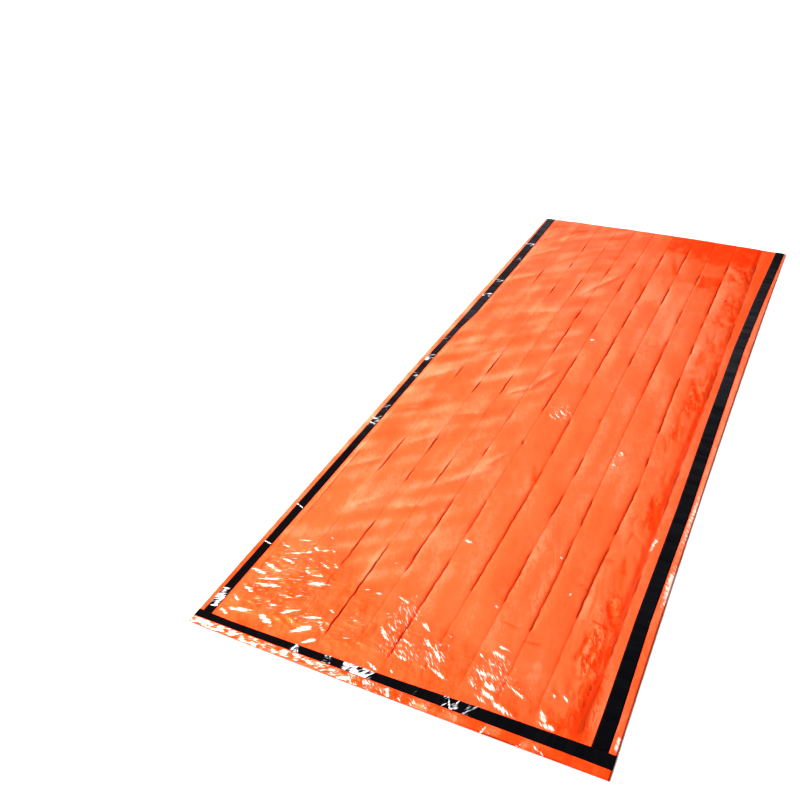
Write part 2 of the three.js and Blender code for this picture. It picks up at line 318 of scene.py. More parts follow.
def flashSlope(x, y):
    # rise to the right and rise to the mouth of a facet whose normal lies half-way between light and eye
    eye = cameraFrame()[0]
    toEye = np.stack([eye.x - x / 1000, eye.y - y / 1000, np.full_like(x, eye.z)])
    light = np.array(Vector(studio["sun"]["towards"]).normalized())
    half = toEye / np.linalg.norm(toEye, axis=0) + light[:, None, None]
    return -half[0] / half[2], -half[1] / half[2]


facetForm = {
    "lean": 0.25,          # how much of the flashing slope it takes
    "front": 2.0,          # how far it rises from the film on its foot side
    "backPerWidth": 1.6,   # how far it falls back on its mouth side, in widths
    "ends": 3,
    "stepHeight": 1.2,
    "nearAcross": 90,      # how far from its start it can reach
    "nearAlong": 110,
}


def facetLie(x, y, facet):
    # a narrow flat strip, held in an oblong, that leans part of the way to the flashing slope: it starts at
    # the film on its foot side, falls back on its mouth side, and has low steps where its line climbs
    along, aside = lineSpots(x, y, facet)
    wide, endReach = facet["wide"], facetForm["ends"]
    runX, runY, length = run(facet)
    wayX, wayY = runX / length, runY / length
    toRight, toMouth = (facetForm["lean"] * slope for slope in flashSlope(x, y))
    climb, rise = toRight * wayX + toMouth * wayY, toMouth * wayX - toRight * wayY
    steps = max(1, round(float(np.abs(climb).mean()) * length / facetForm["stepHeight"]))
    ends = smooth(1 + along * length / endReach) * smooth(1 + (1 - along) * length / endReach)
    front = smooth(1 + (aside + wide / 2) / facetForm["front"])
    back = smooth(1 - (aside - wide / 2) / (facetForm["backPerWidth"] * wide))
    stepped = climb * ((along * steps) % 1 - 0.5) * length / steps
    share = ends * front * back
    return share * (rise * (aside + wide / 2) + stepped), share


def paintedGlintMark(x, y, facet):
    # painted glint: 1 along the middle of the facet, 0.7 on an ellipse of its size, and 0 further out
    along, aside = lineSpots(x, y, facet)
    return np.clip(1 - 0.3 * (2 * aside / facet["wide"]) ** 2 - 0.3 * (2 * along - 1) ** 2, 0, 1)


def creaseX(index, y):
    # straight between the stations, with a small wander of three sine waves that differs for each crease
    swelling = 0.9 * np.sin(y / (13 + index % 3) + 2 * index) * np.sin(y / 41 + index)
    wander = 0.7 * (swelling + 0.7 * np.sin(y / 5.7 + 3 * index))
    return np.interp(y, creaseStations, creases[index]["x"]) + wander


def pressed(index, y):
    # 1 on the deep stretches of a crease and the unpressed share elsewhere, with soft ends
    total = np.full_like(y, markShares["unpressed"])
    for top, bottom in creases[index]["deep"]:
        total = np.maximum(total, smooth((y - bottom) / 22) * smooth((top - y) / 22))
    return total


# The lines that run along the film, from its left edge to its right edge, as x at a given y.
keyLines = [
    lambda y: sideX("leftX", y),
    lambda y: tapeX(leftTape, "outer", y),
    lambda y: tapeX(leftTape, "inner", y),
    *(lambda y, i=i: creaseX(i, y) for i in range(len(creases))),
    lambda y: tapeX(rightTape, "inner", y),
    lambda y: tapeX(rightTape, "outer", y),
    lambda y: sideX("rightX", y),
]
# Where the grid's lines run between two neighbours of those, as shares of the way; closest beside a crease.
stripShares = [0, 0.02, 0.05, 0.1, 0.16, 0.225, 0.29, 0.36, 0.43, 0.5, 0.57, 0.64, 0.71, 0.775, 0.84, 0.9,
               0.95, 0.98]
lastStripShares = [0, 0.02, 0.05, *np.linspace(0.085, 0.98, 25)]
upperSpans = (
    [[0, 0.25, 0.5, 0.75], [0, 0.33, 0.66], [0, 0.25, 0.5, 0.75, 0.93]]
    + [stripShares] * (len(creases) - 2) + [lastStripShares]
    + [[0, 0.06, 0.18, 0.36, 0.54, 0.72, 0.9], [0, 0.33, 0.66], [0, 0.25, 0.5, 0.75, 1]]
)
lowerSpans = (
    [[0, 0.33, 0.66], [0, 0.5], [0]] + [[0, 0.5]] * (len(creases) - 1)
    + [[0], [0, 0.5], [0, 0.33, 0.66, 1]]
)
# Mm between the grid's crosswise lines, close where the film is finely crumpled.
rowSpacing = named("from to spacing", [
    (-1100, -1054, 1.5), (-1054, -1030, 5.0), (-1030, -740, 2.0), (-740, -650, 8.0), (-650, -618, 2.5),
    (-512, -458, 2.8), (-268, -192, 2.8), (-136, -40, 2.5), (46, 64, 3.0), (280, 304, 2.5),
    (1082, 1100, 2.0),
])
otherSpacing = 10.4
upperRows, lowerRows = 409, 160


def placeRows():
    # shares of the length at which the crosswise lines lie, at even steps of the summed-up closeness
    y = np.linspace(outline["footY"]["left"], outline["mouthY"]["left"], 6000)
    spacing = np.full_like(y, otherSpacing)
    for band in rowSpacing:
        spacing[(y >= band["from"]) & (y < band["to"])] = band["spacing"]
    closeness = np.cumsum(1 / spacing)
    closeness -= closeness[0]
    return np.interp(np.linspace(0, closeness[-1], upperRows), closeness, lengthShare(y))


def layGrid(spans, shares, mouthStep):
    # point where each lengthwise line meets each crosswise one, in a few rounds because both bend
    spanOf = np.concatenate([np.full(len(s), i) for i, s in enumerate(spans)])
    shareOf = np.concatenate([np.array(s, float) for s in spans])
    across = np.linspace(outline["leftX"]["foot"], outline["rightX"]["foot"], len(spanOf))
    x = np.tile(across, (len(shares), 1))
    v = shares[:, None]
    for _ in range(5):
        y = endY("footY", x) + (endY("mouthY", x) - mouthStep - endY("footY", x)) * v
        for span in range(len(spans)):
            use = spanOf == span
            a, b = keyLines[span](y[:, use]), keyLines[span + 1](y[:, use])
            x[:, use] = a + (b - a) * shareOf[use]
    return x, y


# Stretches of a panel with painted shade, deeper orange (above 0), or painted light, paler orange (below 0).
paintedLightPatches = named("left right bottom top deeper", [
    (57, 132, 955, 1075, 0.95), (132, 206, 925, 1075, 0.95), (206, 281, 900, 1070, 0.95),
    (281, 366, 915, 1060, 0.95), (215, 282, 725, 800, 0.95), (60, 133, 560, 760, -0.16),
    (135, 208, 340, 740, -0.24), (286, 370, 200, 900, -0.25), (219, 297, -900, -400, 0.2),
    (66, 142, -880, 50, 0.16), (-18, 66, -400, 50, 0.16), (70, 166, -1100, -1045, -0.55),
    (166, 219, -1100, -1045, 0.25), (220, 248, -1100, -1045, -0.25), (249, 293, -1100, -1045, 0.45),
    (294, 326, -1100, -1045, -0.55), (328, 460, -1100, -1045, 0.15),
])
paintedGlintFields = named("x y reachX reachY share", [  # where the film is strewn with small flecks of painted glint
    (-330, -900, 100, 130, 0.44), (-215, -985, 45, 50, 0.5), (-128, -960, 30, 60, 0.38),
    (-40, -900, 40, 80, 0.54), (-10, -975, 60, 50, 0.56), (60, -960, 40, 60, 0.54),
    (190, -960, 45, 70, 0.58), (170, -1010, 90, 20, 0.78), (262, -980, 30, 50, 0.46),
    (320, -1006, 30, 16, 0.62), (30, -94, 38, 50, 0.5), (228, -226, 18, 50, 0.46),
])
marginCrinkle = {  # the foot margin's small cells, and how many of them flash, from left to right
    "cellWide": 13, "cellDeep": 6, "cells": 200, "rows": 4, "leftEnd": -460,
    "x": [-440, -330, 0, 150, 300],
    "flashing": [0.95, 0.75, 0.6, 0.35, 0.15],
}
paintedMarginGlint = {  # how much of the foot margin has a painted glint, from left to right
    "x": [-460, -380, -300, -60, 20, 90, 170, 330],
    "share": [0.90, 0.76, 0.66, 0.70, 0.54, 0.42, 0.20, 0.10],
}
footEdgeShadow = {  # how dark the painted shadow along the foot edge is
    "x": [-100, 0, 190, 215, 280, 292, 330, 345, 370, 400],
    "share": [0, 0.3, 0.3, 0.95, 0.95, 0.3, 0.3, 0.8, 0.8, 0.4],
}
footWrinkles = {  # how far up from the foot the wrinkles reach
    "x": [-430, -330, -250, -140, 80, 170, 280, 400],
    "y": [-765, -765, -735, -825, -850, -870, -920, -960],
}
# Slow waves of the film: their height, what the left half has besides, their lengths, seed and turn.
swells = [
    {"height": 0.3, "onLeft": 0.2, "lengths": (190, 230), "seed": 7, "turn": 0},
    {"height": 0.0, "onLeft": 0.55, "lengths": (230, 90), "seed": 9, "turn": 40},
    {"height": 0.0, "onLeft": 0.16, "lengths": (110, 30), "seed": 10, "turn": 36},
]
toneSwells = [  # the same for its orange, where the height is how pale it gets
    {"height": 0.07, "onLeft": 0.0, "lengths": (44, 260), "seed": 61, "turn": 0},
    {"height": 0.0, "onLeft": 0.13, "lengths": (200, 74), "seed": 62, "turn": 38},
]
filmLie = {
    "seam": 1.9,           # height of the upper film along its taped seams, from the ground
    "lift": 2.2,           # how far it stands off inside the seams
    "seamReach": 18,       # over which it rises to that
    "lowest": 0.2,
    "grooveDepth": 1.2,
    "grooveSpread": 1.8,
    "footWrinkle": 0.7,
    "footWave": 0.3,
    "fadeIn": 70,          # over which the foot's wrinkles begin
    "sideWrinkle": 0.7,
    "thickness": 0.3,
    "tone": -0.14,
    "footTone": -0.42,     # painted shade: how much deeper the orange is among the foot's wrinkles
    # how much painted crumple shade the film has everywhere, and more among the foot's wrinkles
    "crumple": 0.05,
    "footCrumple": 0.1,
}


# How much paler (tone) or deeper (deep) the film's orange is, and how dark its lines are (line); most are
# painted highlight, painted shade and painted shadow lines.
markShares = {
    "foldTone": 0.17,          # painted highlight, for each mm of a fold's height, along its crest
    "valleyDeep": 0.32,        # painted shade on the left of a pressed valley
    "unpressed": 0.25,         # share of a crease's depth that is left between its deep stretches
    "unpressedLine": 0.2,
    "pinchDeep": 0.4,          # painted shade in a pinched groove, and for each mm of its depth
    "pinchDeepPerDepth": 0.25,
    "pinchLine": 0.12,
    "pinchCrumple": 0.4,
    "zoneDeep": 0.3,
    "stripDeep": 0.08,         # painted shade in the strip beside the last crease, and on its pinches
    "stripPinchDeep": 0.35,
    "marginDeep": 0.3,
    # a painted shadow line along the mouth edge
    "mouthLine": 0.8,
    "sideTone": 0.5,           # on the side margins, from the middle to the mouth
}


def seamShare(x, y):
    # 0 on the taped margins and right of the last crease, and 1 well inside; it rises more slowly at the foot
    inside = np.minimum(x - tapeX(leftTape, "inner", y), creaseX(lastCrease, y) + 3 - x)
    inside = np.minimum(inside, 0.3 * (y - footTapeY("inner", x)))
    return smooth((inside - 1) / filmLie["seamReach"])


def footWrinkleShare(x, y):
    # 0 above the wrinkles, and 1 from 70 mm below their upper end
    return smooth((against(footWrinkles, "x y", x) - y) / filmLie["fadeIn"])


def awayFrom(zone, x, y):
    # 0 in the middle of an oval zone and 1 on its rim
    return ((x - zone["x"]) / zone["reachX"]) ** 2 + ((y - zone["y"]) / zone["reachY"]) ** 2


def swell(x, y, table):
    # sum of each row's waves times its height, which is larger on the left half
    onLeft = smooth((20 - x) / 140)
    return sum(
        (row["height"] + row["onLeft"] * onLeft) * waves(x, y, *row["lengths"], row["seed"], row["turn"])
        for row in table
    )


# paints shade: keeps the darker of the film's shade line and this one
def paintShade(film, line):
    film["line"] = np.maximum(film["line"], line)


def raiseFolds(film, x, y):
    # adds each slanting fold's height, and a painted highlight streak along its crest that is half as broad
    for fold in softFolds:
        film["z"] += fold["height"] * foldHeight(x, y, fold)
        along, aside = lineSpots(x, y, fold)
        below = smooth(1 + 2 * aside / fold["below"])
        streak = np.where(aside < 0, below, np.exp(-2 * aside / fold["above"]))
        ends = smooth((along + 0.2) / 0.6) * smooth((1.1 - along) / 0.4)
        film["tone"] += markShares["foldTone"] * fold["height"] * streak * ends


def pressCreases(film, x, y):
    # beside each crease, parabolas that end at its reach; on it, a narrow bell pressed in and a painted dark
    # shade line of uneven strength; the lit side gets a painted highlight, and the left side of a valley a
    # painted shade
    for i, crease in enumerate(creases):
        isLedge = i < ledgeCount
        form = creaseForms["ledge" if isLedge else "valley"]
        aside = x - creaseX(i, y)
        deep = pressed(i, y)
        onLeft = np.clip(1 + aside / form["leftReach"], 0, 1) ** 2
        onRight = np.clip(1 - aside / form["rightReach"], 0, 1) ** 2
        rise = np.where(aside < 0, form["left"] * onLeft, form["right"] * onRight)
        groove = np.exp(-(aside / filmLie["grooveSpread"]) ** 2)
        film["z"] += deep * crease["depth"] * (rise - filmLie["grooveDepth"] * groove)
        uneven = np.clip(0.85 + 0.25 * waves(0 * y + 40 * i, y, 60, 80, 70 + i), 0, 1.1)
        strength = crease.get("lineShare", 1) * min(1, crease["depth"] + form["darker"])
        spread = crease.get("lineSpread", form["lineSpread"])
        share = markShares["unpressedLine"] + (deep - markShares["unpressed"]) / 0.94
        paintShade(film, uneven * strength * share * np.exp(-(aside / spread) ** 2))
        litSide = np.where((aside < 0) == isLedge, onLeft if isLedge else onRight, 0)
        film["tone"] += crease.get("pale", form["pale"]) * deep * litSide
        if not isLedge:
            film["tone"] -= markShares["valleyDeep"] * deep * np.where(aside < 0, onLeft, 0)


def pinchCrumples(film, x, y):
    # presses the pinched grooves in, with painted shade (deeper orange and a faint dark line) and painted
    # fine crumples along each, and then sets the zones of painted fine crumples and shade, which fade out
    # towards their rims
    for fold in crumples:
        pinch = pinchShare(x, y, fold)
        film["z"] -= fold["depth"] * pinch
        film["tone"] -= (markShares["pinchDeep"] + markShares["pinchDeepPerDepth"] * fold["depth"]) * pinch
        paintShade(film, fold.get("dark", markShares["pinchLine"]) * pinch ** 2)
        crumpled = markShares["pinchCrumple"] * fold["depth"] * pinch ** 0.4
        film["crumple"] = np.maximum(film["crumple"], crumpled)
    for zone in crumpleZones:
        away = awayFrom(zone, x, y)
        film["crumple"] = np.maximum(film["crumple"], zone["share"] * np.clip(1.3 - away, 0, 1))
        film["tone"] -= markShares["zoneDeep"] * zone["share"] * np.clip(1 - away, 0, 1)


def shadeLastStrip(film, x, y):
    # painted shade: deep and brownish orange that fades with the way left from the last crease, and slanting
    # pinches across the strip there, with more painted shade on them
    fromCrease = creaseX(lastCrease, y) + 1 - x
    shade = against(stripShade, "y share", y)
    shade = shade * np.clip(1 - fromCrease / stripShade["reach"], 0, 1)
    onLeft = smooth(fromCrease / 3)
    patchy = smooth(0.75 + waves(x, y, 20, 60, 6, turn=20))
    film["tone"] -= stripShade["deeper"] * shade * onLeft * patchy
    paintShade(film, stripShade["shadeBrown"] * np.clip(shade - 0.5, 0, 1) * onLeft)
    inStrip = smooth((x - 290) / 30) * smooth(fromCrease / 6)
    pinches = ridges(x, y, 36, 150, 5, turn=20) * smooth(0.4 + waves(x, y, 90, 130, 66))
    film["z"] -= inStrip * pinches
    film["tone"] -= inStrip * (markShares["stripPinchDeep"] * pinches + markShares["stripDeep"])


def paintLightPatches(film, x, y):
    # painted light and shade: an oblong with soft sides for each patch, whose foot side is wavy
    ragged = 16 * waves(x, y, 40, 40, 63)
    for patch in paintedLightPatches:
        inside = smooth((x - patch["left"]) / 6 + 0.5) * smooth((patch["right"] - x) / 6 + 0.5)
        inside = inside * smooth((y - patch["bottom"] - ragged) / 60 + 0.5)
        film["tone"] -= patch["deeper"] * inside * smooth((patch["top"] - y) / 30 + 0.5)


def wrinkleFoot(film, x, y):
    # a net of wrinkles across the foot, and painted shade, a deeper orange, among them
    wrinkled = footWrinkleShare(x, y)
    net = ridges(x, y, 70, 30, 11, turn=8) + filmLie["footWave"] * waves(x, y, 46, 22, 13, turn=-20)
    film["z"] += wrinkled * filmLie["footWrinkle"] * net
    film["tone"] += wrinkled * filmLie["footTone"]


def shapeMargins(film, x, y):
    # outside the tapes: small cells along the foot, and wrinkles along the sides, which are paler nearer the
    # mouth; and painted dark shadow lines along the foot edge and the mouth edge
    pastFoot = footTapeY("outer", x) - y
    margin = smooth(pastFoot / 3)
    crinkled = 0.35 + 0.65 * smooth((190 - x) / 60)
    film["z"] += margin * crinkled * crinkleHeight(x, pastFoot)
    film["tone"] -= margin * markShares["marginDeep"] * (1 + waves(x, y, 60, 40, 65))
    atFoot = against(footEdgeShadow, "x share", x) * smooth((endY("footY", x) + 5 - y) / 3)
    atMouth = markShares["mouthLine"] * smooth((y - endY("mouthY", x) + outline["mouthStep"] + 4) / 3)
    paintShade(film, np.maximum(atFoot, atMouth))
    pastSides = smooth(np.maximum(tapeX(leftTape, "outer", y) - x, x - tapeX(rightTape, "outer", y)) / 5)
    film["z"] += pastSides * filmLie["sideWrinkle"] * ridges(x, y, 34, 60, 23)
    film["tone"] += markShares["sideTone"] * pastSides * smooth((y + 600) / 300)


def crinkleHeight(x, outer):
    # a mosaic of small facets on the foot margin: slanting cells with the flashing slope, most of them at the
    # left and few at the right, and others that lean away from it
    dice = np.random.default_rng(33)
    wide, deep = marginCrinkle["cellWide"], marginCrinkle["cellDeep"]
    rows, cells, leftEnd = marginCrinkle["rows"], marginCrinkle["cells"], marginCrinkle["leftEnd"]
    row = np.clip(np.floor(outer / deep), 0, rows - 1).astype(int)
    place = (x - leftEnd + 0.7 * outer + 5 * row + 4 * waves(x, outer, 45, 30, 34)) / wide
    cell = np.clip(np.floor(place), 0, cells - 1).astype(int)
    likely = against(marginCrinkle, "x flashing", np.arange(cells) * wide + leftEnd)
    flashing = dice.random((rows, cells)) < likely
    lean = np.where(flashing, 1.0, dice.uniform(-1.2, 0.5, (rows, cells)))[row, cell]
    toRight, toMouth = flashSlope(x, footTapeY("outer", x) - outer)
    acrossCell = (place - np.floor(place) - 0.5) * wide
    return lean * (toRight * acrossCell - toMouth * (outer - (row + 0.5) * deep)) + 0.5 * toMouth * deep


def paintedGlintShare(x, y, seam):
    # the painted glint: the largest of the foot margin's share, each field's, which fades towards its rim,
    # and each facet's mark
    margin = smooth((footTapeY("outer", x) - y) / 3)
    paintedGlint = margin * (against(paintedMarginGlint, "x share", x) + 0.14 * waves(x, y, 30, 18, 64))
    for field in paintedGlintFields:
        paintedGlint = np.maximum(paintedGlint, seam * field["share"] * np.clip(1.3 - awayFrom(field, x, y), 0, 1) ** 0.5)
    for facet in glints + paintedFlatGlints:
        paintedGlint = np.maximum(paintedGlint, facet.get("mark", 1) * paintedGlintMark(x, y, facet))
    return paintedGlint


def raiseFacets(film, x, y, seam):
    # the facets, each on the flat lie of the film, in place of what lies under them
    facets, covered = np.zeros_like(x), np.zeros_like(x)
    for facet in glints:
        near = np.abs(x - facet["startX"]) < facetForm["nearAcross"]
        near = near & (np.abs(y - facet["startY"]) < facetForm["nearAlong"])
        part = np.ix_(np.any(near, axis=1), np.any(near, axis=0))
        lie, share = facetLie(x[part], y[part], facet)
        facets[part], covered[part] = np.maximum(facets[part], lie), np.maximum(covered[part], share)
    film["z"] = film["z"] * (1 - covered) + covered * (seam * filmLie["lift"]) + facets


def upperFilmLie(x, y):
    # height of the film, and four marks on it: the painted shade line of each crease, how pale (above 0) or
    # deep (below 0) its orange is, partly painted highlight and shade, how much painted white glint it holds,
    # and how finely crumpled it is, which the material paints as shade and highlight
    seam = seamShare(x, y)
    film = {
        "z": filmLie["lift"] + swell(x, y, swells),
        "tone": filmLie["tone"] + swell(x, y, toneSwells),
        "line": np.zeros_like(x),
        "crumple": filmLie["crumple"] + filmLie["footCrumple"] * footWrinkleShare(x, y),
    }
    for step in (raiseFolds, pressCreases, pinchCrumples, shadeLastStrip, paintLightPatches, wrinkleFoot):
        step(film, x, y)
    film["z"] = seam * np.maximum(film["z"], filmLie["lowest"])
    shapeMargins(film, x, y)
    raiseFacets(film, x, y, seam)
    return filmLie["seam"] + film["z"], {
        "paintedShadeLine": film["line"], "tone": film["tone"], "paintedGlint": paintedGlintShare(x, y, seam),
        "crumple": film["crumple"],
    }


def filmSheet(name, x, y, top, thickness, marks):
    # A closed sheet: its upper face is the whole grid, its lower face takes every third line of the grid and
    # lies a thickness below the lowest point nearby, and a wall with a face for each coarse cell joins them.
    rows, cols = x.shape
    step = 3
    lowest = top.copy()
    for shift in range(1, step):
        lowest[shift:] = np.minimum(lowest[shift:], top[:-shift])
        lowest[:-shift] = np.minimum(lowest[:-shift], top[shift:])
    near = lowest.copy()
    for shift in range(1, step):
        lowest[:, shift:] = np.minimum(lowest[:, shift:], near[:, :-shift])
        lowest[:, :-shift] = np.minimum(lowest[:, :-shift], near[:, shift:])
    upper = np.stack([x, y, top], axis=-1).reshape(-1, 3)
    lower = np.stack([x, y, lowest - thickness], axis=-1)[::step, ::step]
    fine = np.arange(rows * cols).reshape(rows, cols)
    coarse = rows * cols + np.arange(lower.shape[0] * lower.shape[1]).reshape(lower.shape[:2])

    def wall(t, b):
        cells = np.arange(len(b) - 1)
        edge = [t[step * cells + k] for k in range(step, -1, -1)]
        return np.stack([b[cells], b[cells + 1]] + edge, axis=-1)

    walls = np.concatenate([
        wall(fine[0], coarse[0]), wall(fine[-1][::-1], coarse[-1][::-1]),
        wall(fine[::-1, 0], coarse[::-1, 0]), wall(fine[:, -1], coarse[:, -1]),
    ])
    faces = [quads(fine), quads(coarse)[:, ::-1], walls]
    return makePiece(name, np.concatenate([upper, lower.reshape(-1, 3)]), faces, [True, True, False], marks)


def quads(number):
    # one face for each cell of a grid of point numbers, wound so that its normal points up
    corners = [number[:-1, :-1], number[:-1, 1:], number[1:, 1:], number[1:, :-1]]
    return np.stack(corners, axis=-1).reshape(-1, 4)


def makePiece(name, spots, faces, soft, marks=None):
    # faces is a list of arrays, each with one row of point numbers for each face; soft says which are smooth
    mesh = bpy.data.meshes.new(name)
    spots = (spots - np.array([middle[0], middle[1], 0])) / 1000
    mesh.vertices.add(len(spots))
    mesh.vertices.foreach_set("co", spots.astype(np.float32).ravel())
    corners = np.concatenate([group.ravel() for group in faces]).astype(np.int32)
    sizes = np.concatenate([np.full(len(group), group.shape[1]) for group in faces])
    mesh.loops.add(len(corners))
    mesh.loops.foreach_set("vertex_index", corners)
    mesh.polygons.add(len(sizes))
    mesh.polygons.foreach_set("loop_start", (np.cumsum(sizes) - sizes).astype(np.int32))
    mesh.polygons.foreach_set("use_smooth", np.repeat(soft, [len(group) for group in faces]))
    mesh.update(calc_edges=True)
    mesh.validate()
    for label, values in (marks or {}).items():
        layer = mesh.attributes.new(label, "FLOAT", "POINT")
        padded = np.zeros(len(spots), np.float32)
        padded[:values.size] = values.ravel()
        layer.data.foreach_set("value", padded)
    piece = bpy.data.objects.new(name, mesh)
    bpy.context.scene.collection.objects.link(piece)
    return piece


def thinSheet(name, x, y, z, thickness, marks=None):
    # the grid as one sheet, thickened downwards
    number = np.arange(x.size).reshape(x.shape)
    piece = makePiece(name, np.stack([x, y, z], axis=-1).reshape(-1, 3), [quads(number)], [True], marks)
    wall = piece.modifiers.new("thickness", "SOLIDIFY")
    wall.thickness = thickness / 1000
    wall.offset = -1
    return piece


def fill(tree, made, inputs):
    # a link where the value is another node's output, and a fixed value otherwise
    for name, value in inputs.items():
        if isinstance(value, bpy.types.NodeSocket):
            tree.links.new(value, made.inputs[name])
        else:
            made.inputs[name].default_value = value


def node(tree, kind, inputs, output, **settings):
    # a new node with these settings and inputs; gives the named output
    made = tree.nodes.new(kind)
    for key, value in settings.items():
        setattr(made, key, value)
    fill(tree, made, inputs)
    return made.outputs[output]


def maths(tree, operation, *terms):
    return node(tree, "ShaderNodeMath", dict(enumerate(terms)), "Value", operation=operation)


def mapped(tree, value, old, new=(0.0, 1.0), **settings):
    # the value carried from one range to another
    inputs = {"Value": value, "From Min": old[0], "From Max": old[1], "To Min": new[0], "To Max": new[1]}
    return node(tree, "ShaderNodeMapRange", inputs, "Result", **settings)


def mixed(tree, share, first, second, **settings):
    # the first where the share is 0, and the second where it is 1
    return node(tree, "ShaderNodeMix", {"Factor": share, "A": first, "B": second}, "Result", **settings)


def colourRamp(tree, value, stops):
    # straight from its lowest stop to its highest, each stop a place from 0 to 1 and a colour
    ramp = tree.nodes.new("ShaderNodeValToRGB")
    places = ramp.color_ramp.elements
    while len(places) < len(stops):
        places.new(0.5)
    for place, (position, colour) in zip(places, stops):
        place.position, place.color = position, colour
    fill(tree, ramp, {"Fac": value})
    return ramp.outputs["Color"]


def greyRamp(tree, value, stops, low=0, high=1):
    # brightness against a value between low and high, straight between the stops
    stops = [((at - low) / (high - low), (grey, grey, grey, 1)) for at, grey in stops]
    return colourRamp(tree, value if (low, high) == (0, 1) else mapped(tree, value, (low, high)), stops)


def marked(tree, name):
    return node(tree, "ShaderNodeAttribute", {}, "Fac", attribute_name=name)


def noise(tree, spots, scale, detail, distortion=0.0):
    inputs = {"Vector": spots, "Scale": scale, "Detail": detail, "Distortion": distortion}
    return node(tree, "ShaderNodeTexNoise", inputs, "Fac")


def stretchedNoise(tree, spots, size, turn, detail, distortion=0.0):
    # noise whose features are size metres big, with the pattern swung round by turn degrees
    inputs = {"Vector": spots, "Scale": size, "Rotation": (0, 0, math.radians(turn))}
    stretched = node(tree, "ShaderNodeMapping", inputs, "Vector", vector_type="TEXTURE")
    return noise(tree, stretched, 1.0, detail, distortion)


def bumped(tree, height, strength, distance):
    inputs = {"Height": height, "Strength": strength, "Distance": distance}
    return node(tree, "ShaderNodeBump", inputs, "Normal")


def newMaterial(name):
    # an empty material, with its node tree and its Object coordinates
    material = bpy.data.materials.new(name)
    material.use_nodes = True
    tree = material.node_tree
    return material, tree, node(tree, "ShaderNodeTexCoord", {}, "Object")


filmFinish = {
    "orange": (1.0, 0.074, 0.014, 1),
    "paleOrange": (1.0, 0.24, 0.12, 1),
    "deepOrange": (1.0, 0.038, 0.003, 1),
    # the painted shade colour of the lines along creases, edges, pinches and crumples
    "paintedShadeBrown": (0.14, 0.016, 0.002, 1),
    # the painted glint's pale colour
    "paintedGlint": (1.0, 0.56, 0.47, 1),
    "metallic": 0.6,
    "roughness": 0.34,
    "specular": 0.02,
    "specularTint": (1.0, 0.45, 0.2, 1),
    "coat": 0.20,
    "deepCoat": 0.02,
    "coatRoughness": 0.05,
    "streak": (0.014, 0.0028, 0.014),     # size of the streaks that break up the painted glints, in metres
    "streakTurns": (18, -44),             # which way they lie, on the left and on the right, in degrees
    "toneStreak": (0.016, 0.040, 0.016),  # size of the streaks in its pale and deep places, in metres
    "crumple": (0.010, 0.036, 0.010),     # size of the fine crumples, painted as shade and highlight, in metres
    "crumpleTurn": 20,
    "crumpleGain": 1.8,  # how much the fine crumples' painted shade and highlight change its orange
    # how dark the crumples' painted shade lines are
    "crumpleDark": -1.2,
    "grain": 90.0,       # fine crinkles per metre
    "grainTone": 0.16,
    "grainBump": (0.20, 0.0006),
    "patches": 9.0,      # patches of slightly paler or deeper orange per metre
}
crumpleEdge = [(0.34, 0.5), (0.46, 0.0), (0.50, 0.70), (0.60, 0.5)]  # 0.5 leaves the orange as it is; lower is painted shade, higher painted highlight
markForm = {
    "sides": (-0.10, -0.04),  # x in metres over which the left streaks give way to the right ones
    "gain": 2.0,
    "edge": (1.60, 2.04),     # where a mark starts to show, and where it is whole
}


def brokenMark(tree, spots, name, size, turns):
    # an attribute made a mark with feathered edges: it shows where the attribute and twice a stretched noise
    # come to more than about 1.8, so a full attribute is nearly whole and a half one is flecks; the noise's
    # streaks lie along the first turn on the left and along the second one on the right
    across = node(tree, "ShaderNodeSeparateXYZ", {"Vector": spots}, "X")
    streaks = mixed(tree, mapped(tree, across, markForm["sides"]),
                    *(stretchedNoise(tree, spots, size, turn, 4.0) for turn in turns))
    total = maths(tree, "MULTIPLY_ADD", streaks, markForm["gain"], marked(tree, name))
    return mapped(tree, total, markForm["edge"], interpolation_type="SMOOTHSTEP")


def crumpleShade(tree, spots):
    # painted shade and highlight of fine crumples: edges where a stretched noise crosses its middle, deep on
    # one side and pale on the other, from -0.5 to 0.2, times the crumple attribute
    streaks = stretchedNoise(tree, spots, filmFinish["crumple"], filmFinish["crumpleTurn"], 3.0, 0.5)
    edge = greyRamp(tree, streaks, crumpleEdge)
    return maths(tree, "MULTIPLY", maths(tree, "SUBTRACT", edge, 0.5), marked(tree, "crumple"))


